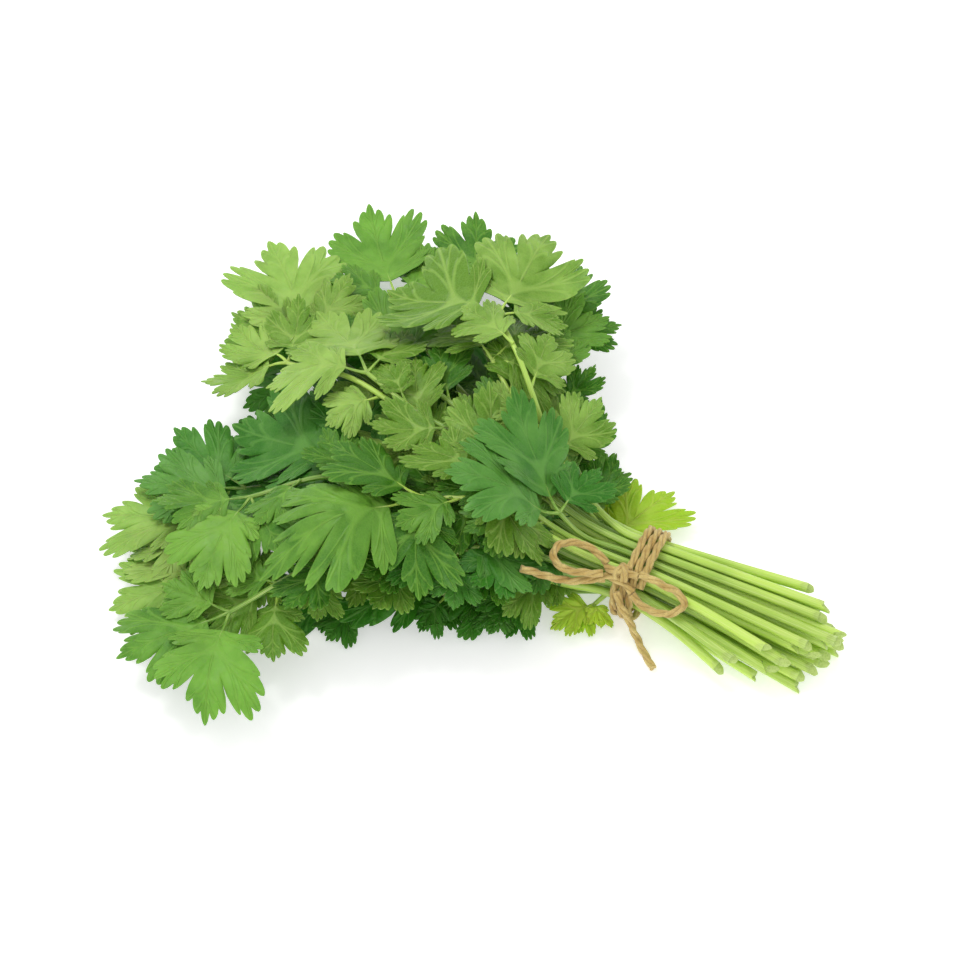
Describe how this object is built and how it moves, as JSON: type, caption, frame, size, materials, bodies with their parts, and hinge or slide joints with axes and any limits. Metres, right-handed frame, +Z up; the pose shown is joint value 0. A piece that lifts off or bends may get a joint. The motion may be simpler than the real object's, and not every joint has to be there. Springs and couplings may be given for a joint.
{
  "type": "herb bunch",
  "caption": "Bunch of fresh coriander lying on its side: thin green stems tied with jute twine in a bow, and a wide fan of toothed, lobed leaves.",
  "frame": {"origin": "on the surface that the bunch lies on, in the middle of the flat spot under the tie", "axes": "+Z up from the surface; +X along the stems from the tie towards their cut ends, the leaves lie towards -X; +Y to the back, away from the side that the bow faces"},
  "size_m": [0.2872, 0.2687, 0.0598],
  "materials": {
    "leaf_lime": "satin",
    "leaf_light": "satin",
    "leaf_fresh": "satin",
    "leaf_deep": "satin",
    "stem": "satin",
    "twine": "matte"
  },
  "bodies": {
    "root": {"leafy_stem_01": "leaf_deep", "leafy_stem_02": "leaf_deep", "leafy_stem_03": "leaf_deep", "leafy_stem_04": "leaf_lime", "leafy_stem_05": "leaf_lime", "leafy_stem_06": "leaf_deep", "leafy_stem_07": "leaf_light", "leafy_stem_08": "leaf_deep", "leafy_stem_09": "leaf_deep", "leafy_stem_10": "leaf_deep", "leafy_stem_11": "leaf_light", "leafy_stem_12": "leaf_light", "leafy_stem_13": "leaf_deep", "leafy_stem_14": "leaf_fresh", "leafy_stem_15": "leaf_deep", "leafy_stem_16": "leaf_fresh", "leafy_stem_17": "leaf_fresh", "leafy_stem_18": "leaf_fresh", "leafy_stem_19": "leaf_deep", "leafy_stem_20": "leaf_light", "leafy_stem_21": "leaf_fresh", "leafy_stem_22": "leaf_fresh", "leafy_stem_23": "leaf_fresh", "leafy_stem_24": "leaf_deep", "leafy_stem_25": "leaf_fresh", "leafy_stem_26": "leaf_deep", "leafy_stem_27": "leaf_light", "leafy_stem_28": "leaf_light", "leafy_stem_29": "leaf_fresh", "leafy_stem_30": "leaf_light", "leafy_stem_31": "leaf_fresh", "leafy_stem_32": "leaf_light", "leafy_stem_33": "leaf_deep", "leafy_stem_34": "leaf_light", "leafy_stem_35": "leaf_light", "twine_wrap": "twine", "bow_loop_left": "twine", "bow_loop_right": "twine", "tail_left": "twine", "tail_right": "twine"}
  },
  "joints": []
}
